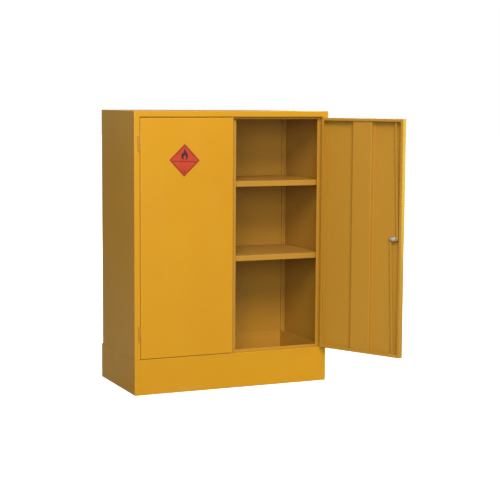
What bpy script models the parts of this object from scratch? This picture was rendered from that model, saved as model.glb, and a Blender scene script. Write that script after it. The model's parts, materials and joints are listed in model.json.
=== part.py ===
"""Two-door steel storage cabinet for flammable liquids, standing on a sump base.

Metres, +Z up. The origin is on the floor at the centre of the base. The doors face -Y and +X is to the
right. The left door is shut and the right door stands open. Folded sheet pieces are drawn as a path along
the middle of the sheet, bent with a radius, and then swept.
"""
import math

import bmesh
import bpy
from mathutils import Vector

# Overall sizes
WIDTH = 0.915
HEIGHT = 1.219
BASE_DEPTH = 0.459
BODY_DEPTH = 0.443
BASE_HEIGHT = 0.155

# Folded sheet steel
SHEET = 0.0012
BEND = 0.0022
BEND_STEPS = 3
FIT = 0.0003
WELD_GAP = 0.0005

# How far a cutter reaches past the sheet that it cuts
CUT = 0.001

# Front frame: width of its faces, depth of the rebate and width of the lip that the doors close on
STILE = 0.026
TOP_RAIL = 0.0255
REBATE = 0.0255
SIDE_STOP = 0.015
TOP_STOP = 0.0105
REAR_FLANGE = 0.020
FOOT_FLANGE = 0.016
FOOT_FRONT = 0.032
FOOT_BACK = 0.434

# Base and the sump inside it
BASE_FLANGE = 0.0242
SILL_HEIGHT = 0.165
SUMP_FLOOR = 0.060
SUMP_FRONT = 0.0272
SUMP_BACK = 0.434
BEARER_WIDTH = 0.060
BEARER_SHEET = 0.002
BEARER_END_GAP = 0.0033

# Doors
DOOR_WIDTH = 0.4275
DOOR_DEPTH = 0.025
DOOR_LIP = 0.012
DOOR_BOTTOM = 0.157
DOOR_TOP = 1.1905
RIGHT_DOOR_OPEN = math.radians(117.0)
STIFFENER_WIDTH = 0.100
STIFFENER_DEPTH = 0.0185
STIFFENER_FLANGE = 0.016
STRIP_WIDTH = 0.035
STRIP_SHEET = 0.0015
STRIP_END_GAP = 0.011

# Lift-off hinges: the axis lies in the front plane, just outside the edge of its door
AXIS_INSET = 0.021
AXIS_TO_DOOR = 0.0065
HINGE_END_DISTANCE = 0.110
HINGE_HALF = 0.0305
HINGE_SPLIT = 0.0005
BARREL_RADIUS = 0.0045
BARREL_BORE = 0.0028
PIN_RADIUS = 0.0025
PIN_NOSE = 0.001
LEAF = 0.002
LEAF_DEPTH = 0.022
LEAF_CLEARANCE = 0.006
LEAF_ROOT = 0.0026
NECK_FRONT = 0.0025
NECK_ROOT = 0.0016
NOTCH = 0.0005

# Lock with two rods, on the right door
LOCK_BACKSET = 0.0445
CAM_THROW = 0.0173
ROD_WIDTH = 0.010
ROD_SHEET = 0.003
ROD_DEPTH = 0.011
ROD_END_SETBACK = 0.004
CAM_DEPTH = 0.0144
CAM_SHEET = 0.003
ROD_HOLE_LENGTH = 0.024
ROD_HOLE_WIDTH = 0.008
ROD_EYE_RADIUS = 0.0060
ROD_TAPER = 0.006
PIVOT_HOLE_RADIUS = 0.0032
PIVOT_SHANK_RADIUS = 0.0029
PIVOT_HEAD_RADIUS = 0.0048
PIVOT_HEAD = 0.0016
LOCK_HOLE_RADIUS = 0.0098
LOCK_BODY_RADIUS = 0.0095
LOCK_BORE_RADIUS = 0.0064
LOCK_BODY_FRONT = -0.0058
LOCK_BODY_BACK = 0.0105
LOCK_NUT_FLATS = 0.026
LOCK_NUT_FRONT = 0.0016
LOCK_NUT_BACK = 0.0066
ESCUTCHEON_RADIUS = 0.0225
ESCUTCHEON_FRONT = -0.0064
CAM_TIP_RADIUS = 0.0075
CAM_WAIST_RADIUS = 0.0115
CAM_SQUARE = 0.0084
CAM_NUT_FLATS = 0.017
CAM_NUT_THICKNESS = 0.0068
SPINDLE_RADIUS = 0.0060
SPINDLE_THREAD_RADIUS = 0.0042
SPINDLE_FRONT = -0.0167
SPINDLE_BACK = 0.0256
HANDLE_FRONT = -0.0350
HANDLE_BACK = -0.0068
BARREL_BACK = -0.0194
KEY_CYLINDER_RADIUS = 0.0074
KEYWAY_WIDTH = 0.0014
KEYWAY_HEIGHT = 0.0084
KEYWAY_DEPTH = 0.0080
GUIDE_HEIGHT = 0.008
GUIDE_OUTER = (0.0155, 0.0055)
GUIDE_INNER = (0.0108, 0.0021)
ROD_SLOT = (0.0112, 0.0026)
ROUND = 24
SMALL_ROUND = 16

# Shelves and their corner uprights
SHELF_TOPS = {"lower": 0.581, "upper": 0.911}
SHELF_LIP = 0.025
SHELF_RETURN = 0.014
SHELF_SIDE_GAP = 0.0035
SHELF_HAT_WIDTH = 0.060
SHELF_HAT_DEPTH = 0.014
SHELF_FRONT = 0.045
SHELF_BACK = 0.426
UPRIGHT_WIDTH = 0.020
UPRIGHT_DEPTH = 0.009
UPRIGHT_BOTTOM = 0.158
UPRIGHT_TOP = 1.180
SLOT_PITCH = 0.022
SLOT_HEIGHT = 0.010
SLOT_WIDTH = 0.004
CLIP_SHEET = 0.0015
CLIP_HEIGHT = 0.024
CLIP_LEDGE = 0.016
CLIP_WIDTH = 0.014
CLIP_SLOT_DROP = 0.016
HOOK_WIDTH = 0.0032
HOOK_DROP = 0.003
HOOK_SHEET = 0.0012

# Label on the left door, turned to stand on one corner and stuck on a little out of true
LABEL_SIDE = 0.100
LABEL_TURN = math.radians(43.3)
LABEL_CORNER = 0.004
LABEL_SHEET = 0.0004
LABEL_FROM_SIDE = 0.2275
LABEL_HEIGHT = 1.0085

FRONT = -BASE_DEPTH / 2
BACK_PANEL_FRONT = BODY_DEPTH - 2 * SHEET - FIT
DOOR_HEIGHT = DOOR_TOP - DOOR_BOTTOM
LOCK_HEIGHT = (DOOR_BOTTOM + DOOR_TOP) / 2
LOCK_TO_AXIS = AXIS_TO_DOOR + DOOR_WIDTH - LOCK_BACKSET
ROD_RISE = DOOR_HEIGHT / 2 - ROD_END_SETBACK
ROD_LENGTH = math.hypot(ROD_RISE, CAM_THROW)
ROD_LEAN = math.atan2(CAM_THROW, ROD_RISE)
HINGE_HEIGHTS = {
    "lower": DOOR_BOTTOM + HINGE_END_DISTANCE,
    "upper": DOOR_TOP - HINGE_END_DISTANCE,
}

YELLOW = ("powder_coat_yellow", (0.78, 0.36, 0.025, 1.0), 0.42, 0.0)
YELLOW_INSIDE = ("powder_coat_yellow_inside", (0.70, 0.31, 0.022, 1.0), 0.45, 0.0)
ZINC = ("zinc_plated_steel", (0.62, 0.60, 0.56, 1.0), 0.35, 0.9)
PASSIVATED = ("yellow_passivated_steel", (0.52, 0.42, 0.24, 1.0), 0.40, 0.85)
NICKEL = ("satin_nickel_casting", (0.66, 0.65, 0.62, 1.0), 0.28, 0.95)
NYLON = ("white_nylon", (0.78, 0.77, 0.72, 1.0), 0.50, 0.0)
LABEL_RED = ("label_red", (0.62, 0.08, 0.05, 1.0), 0.40, 0.0)

# ---------------------------------------------------------------- scene helpers


def clear_scene():
    for item in list(bpy.data.objects):
        bpy.data.objects.remove(item, do_unlink=True)


def material(finish):
    name, colour, roughness, metallic = finish
    found = bpy.data.materials.get(name)
    if found:
        return found
    made = bpy.data.materials.new(name)
    made.use_nodes = True
    shader = made.node_tree.nodes["Principled BSDF"]
    shader.inputs["Base Color"].default_value = colour
    shader.inputs["Roughness"].default_value = roughness
    shader.inputs["Metallic"].default_value = metallic
    made.diffuse_color = colour
    return made


def place(item, parent, location):
    bpy.context.scene.collection.objects.link(item)
    item.parent = parent
    item.location = location
    return item


def empty(name, parent, location, turn=(0.0, 0.0, 0.0)):
    item = place(bpy.data.objects.new(name, None), parent, location)
    item.rotation_euler = turn
    return item


def finish_mesh(mesh, bm):
    bmesh.ops.remove_doubles(bm, verts=bm.verts, dist=1e-7)
    bmesh.ops.recalc_face_normals(bm, faces=bm.faces)
    bm.to_mesh(mesh)
    bm.free()
    mesh.shade_smooth()
    mesh.set_sharp_from_angle(angle=math.radians(35.0))


def solid(name, bm, finish, parent=None, location=(0.0, 0.0, 0.0)):
    mesh = bpy.data.meshes.new(name)
    finish_mesh(mesh, bm)
    mesh.materials.append(material(finish))
    return place(bpy.data.objects.new(name, mesh), parent, location)


def boolean(item, bm, operation):
    """Cuts the bodies in bm out of an object, or joins them to it; they share the object's own frame."""
    tool = solid(item.name + "_tool", bm, ZINC, item)
    tool.hide_render = True
    tool.display_type = "WIRE"
    step = item.modifiers.new(operation.lower(), "BOOLEAN")
    step.operation = operation
    step.solver = "EXACT"
    step.object = tool
    return item


# ---------------------------------------------------------------- shapes


def skin(rings, closed=False):
    """Body through rings with equal numbers of points; open ends are capped, closed ones join up."""
    bm = bmesh.new()
    grid = [[bm.verts.new(point) for point in ring] for ring in rings]
    pairs = list(zip(grid, grid[1:]))
    if closed:
        pairs.append((grid[-1], grid[0]))
    for first, second in pairs:
        for k in range(len(first)):
            n = (k + 1) % len(first)
            bm.faces.new((first[k], first[n], second[n], second[k]))
    if not closed:
        bm.faces.new(grid[0])
        bm.faces.new(grid[-1])
    bmesh.ops.remove_doubles(bm, verts=bm.verts, dist=1e-7)
    bmesh.ops.dissolve_degenerate(bm, edges=bm.edges, dist=1e-7)
    return bm


def merged(parts):
    """One bmesh that holds several separate bodies."""
    whole = bmesh.new()
    for part in parts:
        mesh = bpy.data.meshes.new("part")
        part.to_mesh(mesh)
        part.free()
        whole.from_mesh(mesh)
        bpy.data.meshes.remove(mesh)
    return whole


def box(low, high):
    x0, y0, z0 = low
    x1, y1, z1 = high
    outline = [(x0, y0), (x1, y0), (x1, y1), (x0, y1)]
    return skin([[(x, y, z0) for x, y in outline], [(x, y, z1) for x, y in outline]])


def sheet_outline(path, thickness=SHEET, bend=BEND, steps=BEND_STEPS):
    """Closed outline of a folded sheet whose middle follows the path, with round bends."""
    points = [Vector(point) for point in path]
    sides = ([], [])
    for index, point in enumerate(points):
        before = (point - points[index - 1]).normalized() if index else None
        after = (points[index + 1] - point).normalized() if index < len(points) - 1 else None
        if before is None or after is None:
            along = after or before
            across = Vector((-along.y, along.x)) * thickness / 2
            sides[0].append(point + across)
            sides[1].append(point - across)
            continue
        turn = before.x * after.y - before.y * after.x
        left = 1.0 if turn > 0 else -1.0
        middle = bend - thickness / 2
        centre = point + (after - before) * middle
        for step in range(steps + 1):
            angle = left * math.pi / 2 * step / steps
            out = Vector((before.y, -before.x)) * left
            spoke = Vector((
                out.x * math.cos(angle) - out.y * math.sin(angle),
                out.x * math.sin(angle) + out.y * math.cos(angle),
            ))
            inner = centre + spoke * (middle - thickness / 2)
            outer = centre + spoke * (middle + thickness / 2)
            sides[0].append(inner if left > 0 else outer)
            sides[1].append(outer if left > 0 else inner)
    return sides[0] + sides[1][::-1]


def swept(outline, place_point, start, end):
    """Straight length of an outline; place_point(u, v, s) gives the corner at length s."""
    return skin([[place_point(p[0], p[1], s) for p in outline] for s in (start, end)])


def along_z(u, v, s):
    return (u, v, s)


def along_x(u, v, s):
    return (s, u, v)


def along_y(u, v, s):
    return (u, s, v)


def flanged_pan(width, height, depth, lip):
    """Sheet folded back on all four edges and in again at the rear; face on y = 0, corner at the origin."""
    rings = []
    for step in range(BEND_STEPS + 1):
        angle = math.pi / 2 * step / BEND_STEPS
        rings.append((BEND * (1 - math.sin(angle)), BEND * (1 - math.cos(angle))))
    for step in range(BEND_STEPS + 1):
        angle = math.pi / 2 * step / BEND_STEPS
        rings.append((BEND * (1 - math.cos(angle)), depth - BEND * (1 - math.sin(angle))))
    rings += [(lip, depth), (lip, depth - SHEET), (SHEET, depth - SHEET), (SHEET, SHEET)]
    return skin([
        [(i, y, i), (width - i, y, i), (width - i, y, height - i), (i, y, height - i)] for i, y in rings
    ])


def ring_points(radius, depth, segments=ROUND):
    """Circle around the Y axis."""
    angles = [2 * math.pi * k / segments for k in range(segments)]
    return [(radius * math.cos(a), depth, radius * math.sin(a)) for a in angles]


def polygon_points(apothem, sides, depth, largest, segments=ROUND):
    """Regular polygon around the Y axis, cut back to a largest radius, with a round ring's point count."""
    points = []
    for k in range(segments):
        angle = 2 * math.pi * k / segments
        sector = 2 * math.pi / sides
        offset = (angle + sector / 2) % sector - sector / 2
        radius = min(apothem / math.cos(offset), largest)
        points.append((radius * math.cos(angle), depth, radius * math.sin(angle)))
    return points


def turned(profile, segments=ROUND, closed=False):
    """Body of revolution around Y from (radius, depth) pairs; closed joins the last pair to the first."""
    return skin([ring_points(max(radius, 1e-5), depth, segments) for radius, depth in profile], closed)


def hex_nut(across_flats, bore, start, end):
    apothem = across_flats / 2
    crown = apothem * 1.05
    corner = apothem * 1.2
    bevel = (end - start) * 0.15
    return skin([
        polygon_points(apothem, 6, start, corner),
        polygon_points(apothem, 6, end - bevel, corner),
        polygon_points(apothem, 6, end, crown),
        ring_points(bore, end),
        ring_points(bore, start),
    ], closed=True)


def arc(centre_x, centre_z, radius, start, end, steps):
    return [
        (centre_x + radius * math.cos(math.radians(start + (end - start) * k / steps)),
         centre_z + radius * math.sin(math.radians(start + (end - start) * k / steps)))
        for k in range(steps + 1)
    ]


def plate(outline, start, end):
    """Flat plate from an (x, z) outline, between two depths."""
    return skin([[(x, y, z) for x, z in outline] for y in (start, end)])


# ---------------------------------------------------------------- body


def build_body_shell(datum):
    """One wrapped sheet: left side, top and right side, with the frame, rear flange and feet folded on."""
    def section(face, stop):
        return sheet_outline([
            (face + stop, REBATE + SHEET / 2),
            (face - SHEET / 2, REBATE + SHEET / 2),
            (face - SHEET / 2, SHEET / 2),
            (SHEET / 2, SHEET / 2),
            (SHEET / 2, BODY_DEPTH - SHEET / 2),
            (REAR_FLANGE, BODY_DEPTH - SHEET / 2),
        ])

    side = section(STILE, SIDE_STOP)
    top = section(TOP_RAIL, TOP_STOP)

    def foot(mirror):
        return [(mirror(s[0]), s[1], BASE_HEIGHT + WELD_GAP) for s in side]

    def corner(mirror, fraction):
        """The sheet turns from the side into the top around the bend's centre, at a share of 90 degrees."""
        angle = math.pi / 2 * fraction
        ring = []
        for s, t in zip(side, top):
            reach_s = max(BEND - s[0], 0.0)
            reach_t = max(BEND - t[0], 0.0)
            x = max(s[0], BEND) - reach_s * math.cos(angle)
            z = HEIGHT - max(t[0], BEND) + reach_t * math.sin(angle)
            ring.append((mirror(x), s[1], z))
        return ring

    def left(x):
        return x

    def right(x):
        return WIDTH - x

    fractions = [step / BEND_STEPS for step in range(BEND_STEPS + 1)]
    rings = [foot(left)]
    rings += [corner(left, f) for f in fractions]
    rings += [corner(right, f) for f in reversed(fractions)]
    rings.append(foot(right))
    shell = solid("body_shell", skin(rings), YELLOW, datum)

    sole = BASE_HEIGHT + WELD_GAP
    feet = []
    for mirror in (left, right):
        low, high = sorted((mirror(SHEET / 2), mirror(FOOT_FLANGE)))
        feet.append(box((low, FOOT_FRONT, sole), (high, FOOT_BACK, sole + SHEET)))
    boolean(shell, merged(feet), "UNION")

    cuts = []
    for mirror in (left, right):
        for height in HINGE_HEIGHTS.values():
            low, high = sorted((mirror(AXIS_INSET - BARREL_RADIUS - NOTCH), mirror(STILE + NOTCH)))
            cuts.append(box(
                (low, -NOTCH, height - HINGE_HALF - NOTCH),
                (high, BARREL_RADIUS + NOTCH, height + HINGE_HALF + NOTCH),
            ))
    lock_x = WIDTH - AXIS_INSET - LOCK_TO_AXIS
    rod_middle = ROD_DEPTH + ROD_SHEET / 2
    cuts.append(box(
        (lock_x - ROD_HOLE_LENGTH / 2, rod_middle - ROD_HOLE_WIDTH / 2, HEIGHT - TOP_RAIL - CUT),
        (lock_x + ROD_HOLE_LENGTH / 2, rod_middle + ROD_HOLE_WIDTH / 2, HEIGHT - TOP_RAIL + SHEET + CUT),
    ))
    boolean(shell, merged(cuts), "DIFFERENCE")


def build_back_panel(datum):
    margin = BEND - SHEET / 2
    low = (margin, BACK_PANEL_FRONT, BASE_HEIGHT + WELD_GAP)
    high = (WIDTH - margin, BACK_PANEL_FRONT + SHEET, HEIGHT - margin)
    solid("back_panel", box(low, high), YELLOW_INSIDE, datum)


# ---------------------------------------------------------------- base


def rail_outline(top_flange):
    """Channel of the base, open inwards: bottom flange, upright face and top flange."""
    return sheet_outline([
        (BASE_FLANGE, SHEET / 2),
        (SHEET / 2, SHEET / 2),
        (SHEET / 2, BASE_HEIGHT - SHEET / 2),
        (top_flange, BASE_HEIGHT - SHEET / 2),
    ])


def build_base_rails(datum):
    """Front and back rails of the base, between the two side rails; the front one has the rod's hole."""
    start = BASE_FLANGE + FIT
    end = WIDTH - BASE_FLANGE - FIT
    front_outline = rail_outline(SUMP_FRONT - FIT)
    front = solid("base_front_rail", swept(front_outline, along_x, start, end), YELLOW, datum)
    lock_x = WIDTH - AXIS_INSET - LOCK_TO_AXIS
    rod_middle = ROD_DEPTH + ROD_SHEET / 2
    boolean(front, box(
        (lock_x - ROD_HOLE_LENGTH / 2, rod_middle - ROD_HOLE_WIDTH / 2, BASE_HEIGHT - SHEET - CUT),
        (lock_x + ROD_HOLE_LENGTH / 2, rod_middle + ROD_HOLE_WIDTH / 2, BASE_HEIGHT + CUT),
    ), "DIFFERENCE")
    back_outline = [(BASE_DEPTH - u, v) for u, v in rail_outline(BASE_DEPTH - SUMP_BACK - FIT)]
    solid("base_back_rail", swept(back_outline, along_x, start, end), YELLOW, datum)


def build_base_side(name, datum, mirror):
    """Side rail of the base: a box of folded sheet that is open only on its inner side."""
    rings = []
    for step in range(BEND_STEPS + 1):
        angle = math.pi / 2 * step / BEND_STEPS
        rings.append((BEND * (1 - math.sin(angle)), BEND * (1 - math.cos(angle))))
    rings += [(0.0, BASE_FLANGE), (SHEET, BASE_FLANGE), (SHEET, SHEET)]
    loops = []
    for inset, x in rings:
        y0, y1 = inset, BASE_DEPTH - inset
        z0, z1 = inset, BASE_HEIGHT - inset
        loops.append([(mirror(x), y, z) for y, z in ((y0, z0), (y1, z0), (y1, z1), (y0, z1))])
    solid(name, skin(loops), YELLOW, datum)


def build_sump(datum):
    """Leakproof tray whose front wall stands above the base as the sill, and the bearer beneath it."""
    low_x = BASE_FLANGE + FIT
    high_x = WIDTH - BASE_FLANGE - FIT
    loops = []
    for inset, z in ((BEND, SUMP_FLOOR), (0.0, SUMP_FLOOR + BEND), (0.0, SILL_HEIGHT),
                     (SHEET, SILL_HEIGHT), (SHEET, SUMP_FLOOR + SHEET)):
        x0, x1 = low_x + inset, high_x - inset
        y0, y1 = SUMP_FRONT + inset, SUMP_BACK - inset
        loops.append([(x0, y0, z), (x1, y0, z), (x1, y1, z), (x0, y1, z)])
    solid("sump_tray", skin(loops), YELLOW_INSIDE, datum)

    half = BEARER_WIDTH / 2
    wall = BEARER_SHEET / 2
    channel = sheet_outline([
        (-half + wall, SUMP_FLOOR - FIT),
        (-half + wall, wall),
        (half - wall, wall),
        (half - wall, SUMP_FLOOR - FIT),
    ], BEARER_SHEET, 2 * BEARER_SHEET)
    start = BASE_FLANGE + BEARER_END_GAP
    end = BASE_DEPTH - BASE_FLANGE - BEARER_END_GAP
    solid("sump_bearer", swept(channel, along_y, start, end), YELLOW_INSIDE, datum,
          (WIDTH / 2, 0.0, 0.0))


# ---------------------------------------------------------------- shelves


def build_upright(name, datum, mirror, web, wall):
    """Slotted channel in a corner: its web faces the shelves at depth web, its flanges reach to wall."""
    toward = 1.0 if wall > web else -1.0
    near = SHEET + FIT
    outline = sheet_outline([
        (near + SHEET / 2, wall),
        (near + SHEET / 2, web + toward * SHEET / 2),
        (near + UPRIGHT_WIDTH - SHEET / 2, web + toward * SHEET / 2),
        (near + UPRIGHT_WIDTH - SHEET / 2, wall),
    ])
    body = swept([(mirror(u), v) for u, v in outline], along_z, UPRIGHT_BOTTOM, UPRIGHT_TOP)
    item = solid(name, body, YELLOW_INSIDE, datum)
    middle = near + UPRIGHT_WIDTH / 2
    slots = []
    for height in slot_heights():
        low, high = sorted((mirror(middle - SLOT_WIDTH / 2), mirror(middle + SLOT_WIDTH / 2)))
        slots.append(box((low, web - 2 * SHEET, height), (high, web + 2 * SHEET, height + SLOT_HEIGHT)))
    boolean(item, merged(slots), "DIFFERENCE")


def slot_heights():
    """Lower edges of the slots: steps of the pitch up and down from the lower shelf's clip."""
    first = SHELF_TOPS["lower"] - SHELF_LIP - CLIP_SLOT_DROP
    below = int((first - UPRIGHT_BOTTOM) / SLOT_PITCH)
    above = int((UPRIGHT_TOP - first - SLOT_HEIGHT) / SLOT_PITCH)
    return [first + SLOT_PITCH * k for k in range(-below, above + 1)]


def build_clip(name, datum, mirror, web, toward, top):
    """Shelf clip: a plate on the upright with a ledge under the shelf and a hook through one slot."""
    near = web + toward * (FIT + CLIP_SHEET / 2)
    ledge = top - FIT - CLIP_SHEET / 2
    path = [(near, top - CLIP_HEIGHT), (near, ledge), (near + toward * CLIP_LEDGE, ledge)]
    middle = SHEET + FIT + UPRIGHT_WIDTH / 2
    low, high = sorted((mirror(middle - CLIP_WIDTH / 2), mirror(middle + CLIP_WIDTH / 2)))
    outline = sheet_outline(path, CLIP_SHEET, 2 * CLIP_SHEET)
    clip = solid(name, swept(outline, along_x, low, high), ZINC, datum)

    under = top - CLIP_SLOT_DROP + WELD_GAP
    over = under + HOOK_SHEET
    behind = web - toward * (SHEET + FIT)
    back = behind - toward * HOOK_SHEET
    tip = under - HOOK_DROP
    hook = [(near, over), (back, over), (back, tip), (behind, tip), (behind, under), (near, under)]
    low, high = sorted((mirror(middle - HOOK_WIDTH / 2), mirror(middle + HOOK_WIDTH / 2)))
    boolean(clip, swept(hook, along_x, low, high), "UNION")


def build_shelf(level, top, datum):
    """Shelf tray folded down and in on all four edges, and a hat section across its underside."""
    width = WIDTH - 2 * (SHEET + SHELF_SIDE_GAP)
    depth = SHELF_BACK - SHELF_FRONT
    tray = flanged_pan(width, depth, SHELF_LIP, SHELF_RETURN)
    for vert in tray.verts:
        x, y, z = vert.co
        vert.co = (x, z, -y)
    corner = (SHEET + SHELF_SIDE_GAP, SHELF_FRONT, top)
    solid(level + "_shelf", tray, YELLOW_INSIDE, datum, corner)

    middle = (SHELF_FRONT + SHELF_BACK) / 2
    hat = hat_outline(SHELF_HAT_WIDTH, SHELF_HAT_DEPTH, SHELF_HAT_DEPTH)
    outline = [(middle + u, top - v) for u, v in hat]
    margin = SHEET + SHELF_SIDE_GAP + SHEET + WELD_GAP
    solid(level + "_shelf_stiffener", swept(outline, along_x, margin, WIDTH - margin),
          YELLOW_INSIDE, datum)


def hat_outline(width, depth, flange):
    """Hat section that stands off a sheet: flanges next to the sheet, crown at the given depth."""
    base = SHEET + FIT + SHEET / 2
    crown = SHEET + FIT + depth - SHEET / 2
    half = width / 2 - SHEET / 2
    return sheet_outline([
        (-half - flange, base), (-half, base), (-half, crown),
        (half, crown), (half, base), (half + flange, base),
    ])


# ---------------------------------------------------------------- doors and hinges


def build_door(name, axis, side, extra_cuts=()):
    """Door pan on its hinge axis; side is the way from the axis to the free edge, +1 or -1 along X."""
    pan = flanged_pan(DOOR_WIDTH, DOOR_HEIGHT, DOOR_DEPTH, DOOR_LIP)
    for vert in pan.verts:
        x, y, z = vert.co
        vert.co = (side * (x + AXIS_TO_DOOR), y, z + DOOR_BOTTOM)
    door = solid(name, pan, YELLOW, axis)
    cuts = list(extra_cuts)
    for height in HINGE_HEIGHTS.values():
        low, high = sorted((side * (AXIS_TO_DOOR - CUT), side * (AXIS_TO_DOOR + SHEET + FIT / 2)))
        cuts.append(box(
            (low, NECK_FRONT - FIT, height + HINGE_SPLIT - FIT),
            (high, NECK_FRONT + LEAF + FIT, height + HINGE_HALF + FIT),
        ))
    boolean(door, merged(cuts), "DIFFERENCE")

    hat = hat_outline(STIFFENER_WIDTH, STIFFENER_DEPTH, STIFFENER_FLANGE)
    middle = side * (AXIS_TO_DOOR + DOOR_WIDTH / 2)
    outline = [(middle + u, v) for u, v in hat]
    margin = SHEET + WELD_GAP
    solid(name + "_stiffener", swept(outline, along_z, DOOR_BOTTOM + margin, DOOR_TOP - margin),
          YELLOW, axis)


def build_meeting_strip(axis):
    """Flat strip on the back of the left door's free edge, which the right door laps over."""
    start = AXIS_TO_DOOR + DOOR_WIDTH - DOOR_LIP + WELD_GAP
    solid("meeting_strip", box(
        (start, DOOR_DEPTH + FIT, DOOR_BOTTOM + STRIP_END_GAP),
        (start + STRIP_WIDTH, DOOR_DEPTH + FIT + STRIP_SHEET, DOOR_TOP - STRIP_END_GAP),
    ), YELLOW, axis)


def barrel(low, high):
    """Hinge barrel around Z with its bore."""
    rings = []
    for radius, z in ((BARREL_RADIUS, low), (BARREL_RADIUS, high), (BARREL_BORE, high), (BARREL_BORE, low)):
        ring = []
        for k in range(SMALL_ROUND):
            angle = 2 * math.pi * k / SMALL_ROUND
            ring.append((radius * math.cos(angle), radius * math.sin(angle), z))
        rings.append(ring)
    return skin(rings, closed=True)


def build_hinge(name, height, frame_parent, frame_place, axis, side):
    """Lift-off hinge: lower barrel and leaf on the frame, upper barrel and leaf on the door, and a pin."""
    frame = solid(name + "_frame_leaf", barrel(-HINGE_HALF, -HINGE_SPLIT), YELLOW, frame_parent,
                  (frame_place[0], frame_place[1], height))
    half_outline = [
        (LEAF_ROOT, -HINGE_HALF), (LEAF_DEPTH, -HINGE_HALF), (LEAF_DEPTH, HINGE_HALF),
        (LEAF_CLEARANCE, HINGE_HALF), (LEAF_CLEARANCE, -HINGE_SPLIT), (LEAF_ROOT, -HINGE_SPLIT),
    ]
    near = side * (STILE - SHEET - AXIS_INSET - FIT - LEAF)
    far = side * (STILE - SHEET - AXIS_INSET - FIT)
    boolean(frame, skin([[(x, y, z) for y, z in half_outline] for x in (near, far)]), "UNION")

    door = solid(name + "_door_leaf", barrel(HINGE_SPLIT, HINGE_HALF), YELLOW, axis, (0.0, 0.0, height))
    inner = AXIS_TO_DOOR + SHEET + FIT
    neck_back = NECK_FRONT + LEAF
    neck = [(NECK_ROOT, NECK_FRONT), (inner + LEAF, NECK_FRONT),
            (inner + LEAF, neck_back), (NECK_ROOT, neck_back)]
    neck_body = skin([[(side * u, v, z) for u, v in neck] for z in (HINGE_SPLIT, HINGE_HALF)])
    low, high = sorted((side * inner, side * (inner + LEAF)))
    leaf_body = box((low, NECK_FRONT + LEAF / 2, -HINGE_HALF), (high, LEAF_DEPTH, HINGE_HALF))
    boolean(door, neck_body, "UNION")
    boolean(door, leaf_body, "UNION")

    top = HINGE_HALF
    foot = -HINGE_HALF
    profile = [(0.0, top), (PIN_RADIUS - PIN_NOSE, top), (PIN_RADIUS, top - PIN_NOSE),
               (PIN_RADIUS, foot + PIN_NOSE), (PIN_RADIUS - PIN_NOSE, foot), (0.0, foot)]
    pin = turned([(radius, -z) for radius, z in profile], SMALL_ROUND)
    for vert in pin.verts:
        x, y, z = vert.co
        vert.co = (x, z, -y)
    solid(name + "_pin", pin, ZINC, frame_parent, (frame_place[0], frame_place[1], height))


# ---------------------------------------------------------------- lock


def build_lock_case(axis, lock_place):
    """Pieces of the lock that stay still on the door: escutcheon, threaded body and its nut."""
    rim = ESCUTCHEON_RADIUS
    escutcheon = turned([
        (LOCK_HOLE_RADIUS, -FIT), (rim, -FIT), (rim, -0.0022), (rim - 0.0010, -0.0036),
        (rim - 0.0045, -0.0052), (rim - 0.0065, ESCUTCHEON_FRONT), (LOCK_HOLE_RADIUS, ESCUTCHEON_FRONT),
    ], closed=True)
    solid("lock_escutcheon", escutcheon, NICKEL, axis, lock_place)
    body = turned([
        (LOCK_BORE_RADIUS, LOCK_BODY_FRONT), (LOCK_BODY_RADIUS, LOCK_BODY_FRONT),
        (LOCK_BODY_RADIUS, LOCK_BODY_BACK), (LOCK_BORE_RADIUS, LOCK_BODY_BACK),
    ], closed=True)
    solid("lock_body", body, ZINC, axis, lock_place)
    nut = hex_nut(LOCK_NUT_FLATS, LOCK_BODY_RADIUS + FIT, LOCK_NUT_FRONT, LOCK_NUT_BACK)
    solid("lock_body_nut", nut, PASSIVATED, axis, lock_place)


def lever_rings():
    """Cross sections of the handle's lever, from inside the hub's wall out to its tip."""
    stations = (
        (0.0105, -0.0261, 0.0100, 0.0046),
        (0.014, -0.0262, 0.0100, 0.0046),
        (0.028, -0.0290, 0.0088, 0.0042),
        (0.045, -0.0318, 0.0078, 0.0040),
        (0.075, -0.0326, 0.0072, 0.0038),
        (0.098, -0.0326, 0.0074, 0.0037),
        (0.104, -0.0325, 0.0062, 0.0032),
        (0.107, -0.0323, 0.0036, 0.0020),
    )
    segments = 12
    flat = 0.65
    rings = []
    for x, depth, half_width, half_thickness in stations:
        ring = []
        for k in range(segments):
            angle = 2 * math.pi * k / segments
            y = depth + half_thickness * math.copysign(abs(math.sin(angle)) ** flat, math.sin(angle))
            z = half_width * math.copysign(abs(math.cos(angle)) ** flat, math.cos(angle))
            ring.append((x, y, z))
        rings.append(ring)
    return rings


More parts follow.
